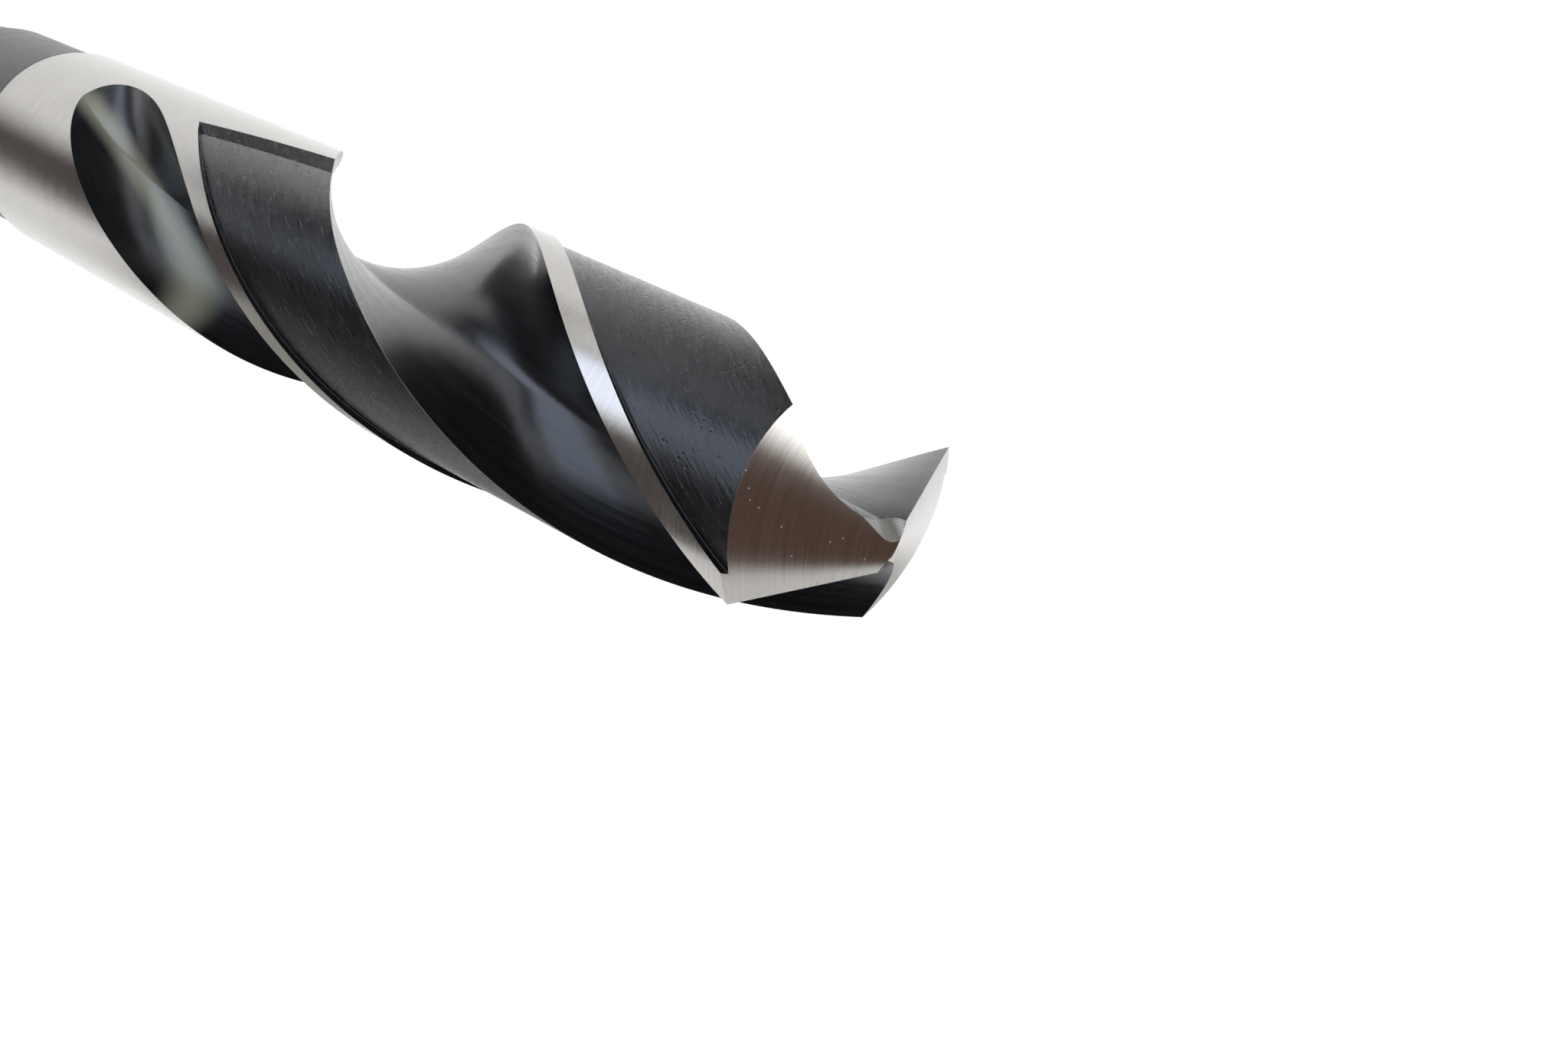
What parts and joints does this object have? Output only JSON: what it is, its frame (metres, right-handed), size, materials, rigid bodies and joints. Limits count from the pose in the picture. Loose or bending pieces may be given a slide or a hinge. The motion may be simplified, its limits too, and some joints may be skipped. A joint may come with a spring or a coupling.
{
  "type": "twist drill bit",
  "caption": "Right-hand twist drill with reduced plain shank, dark neck, long helical flutes with run-out, ground margins and a split point.",
  "frame": {"origin": "centre of the end face of the shank, which the drill stands on", "axes": "+Z along the axis from the shank to the point, +X through the outer corner of the first cutting lip"},
  "size_m": [0.0142, 0.0142, 0.152],
  "materials": {
    "high_speed_steel": "bright ground on the shank, margins, plain body and point; black oxide in the flutes, on the body clearance and on the neck"
  },
  "bodies": {
    "root": {"drill_bit": "high_speed_steel"}
  },
  "joints": []
}
